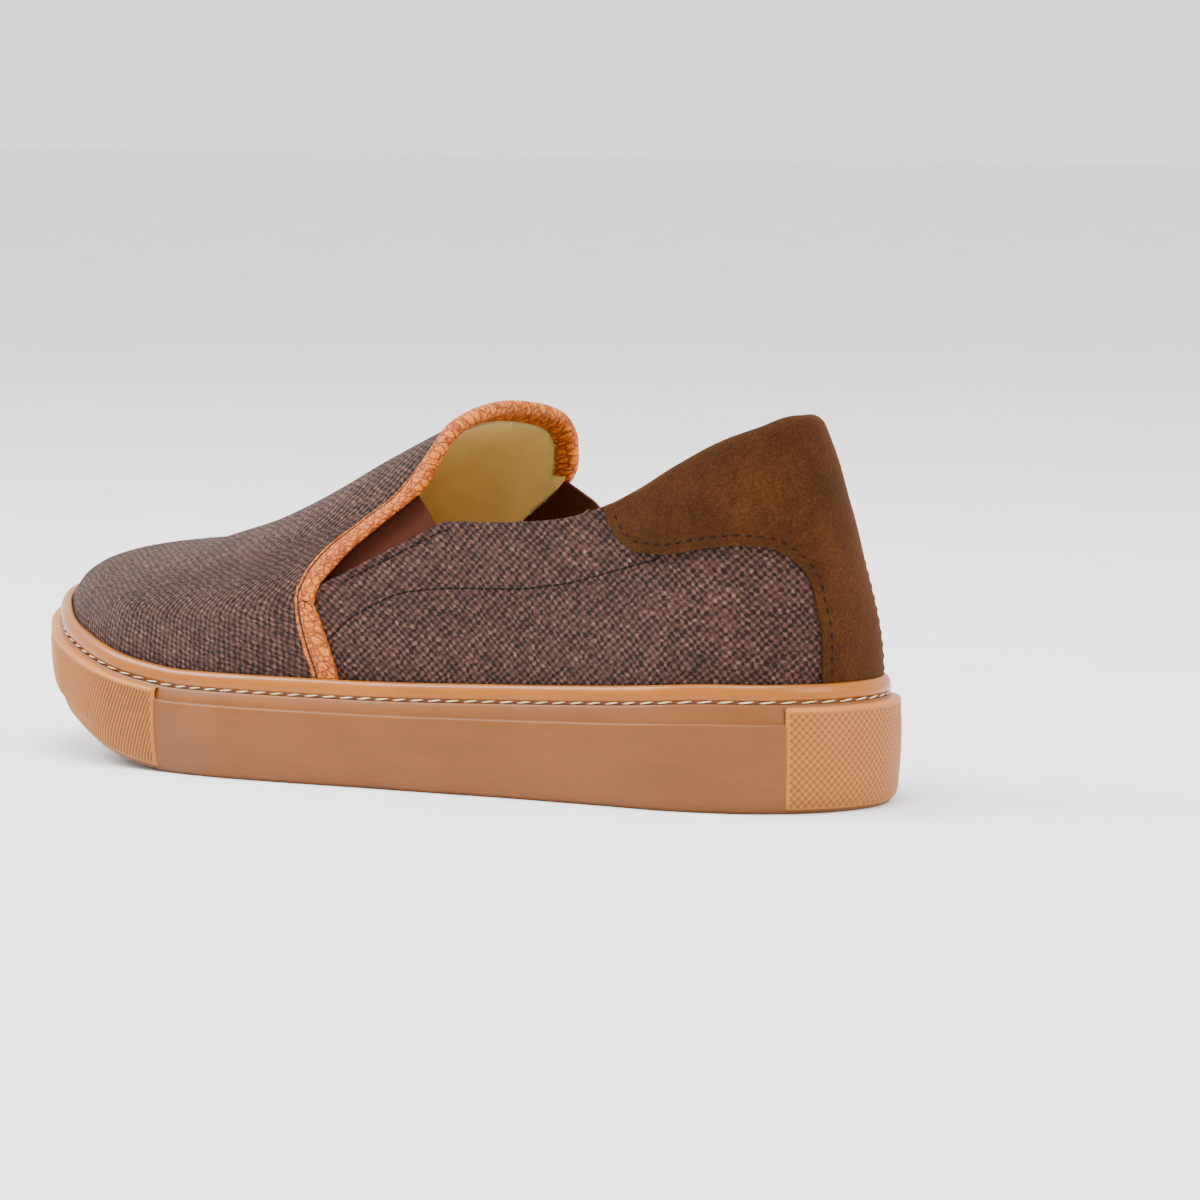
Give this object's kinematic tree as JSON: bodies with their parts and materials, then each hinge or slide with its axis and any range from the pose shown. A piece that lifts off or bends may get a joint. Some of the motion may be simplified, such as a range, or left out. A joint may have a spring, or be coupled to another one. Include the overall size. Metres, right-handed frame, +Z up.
{
  "type": "slip-on sneaker",
  "caption": "Left low slip-on sneaker: canvas upper with elastic gores, suede heel counter and leather binding on a rubber cup sole.",
  "frame": {"origin": "on the floor, under the middle of the shoe's bounding box", "axes": "+X towards the toe, +Y towards the shoe's outer side (the wearer's left), +Z up"},
  "size_m": [0.2932, 0.1088, 0.107],
  "materials": {
    "rubber": "satin gum rubber",
    "insole_leather": "matt pale leather",
    "canvas": "coarse basket weave",
    "suede": "napped suede",
    "binding_leather": "grained, half matt",
    "elastic": "ribbed elastic"
  },
  "bodies": {
    "root": {"cupsole": "rubber", "insole": "insole_leather", "upper": "canvas", "heel_counter": "suede", "vamp_binding": "binding_leather", "gore_lateral": "elastic", "gore_medial": "elastic"}
  },
  "joints": []
}
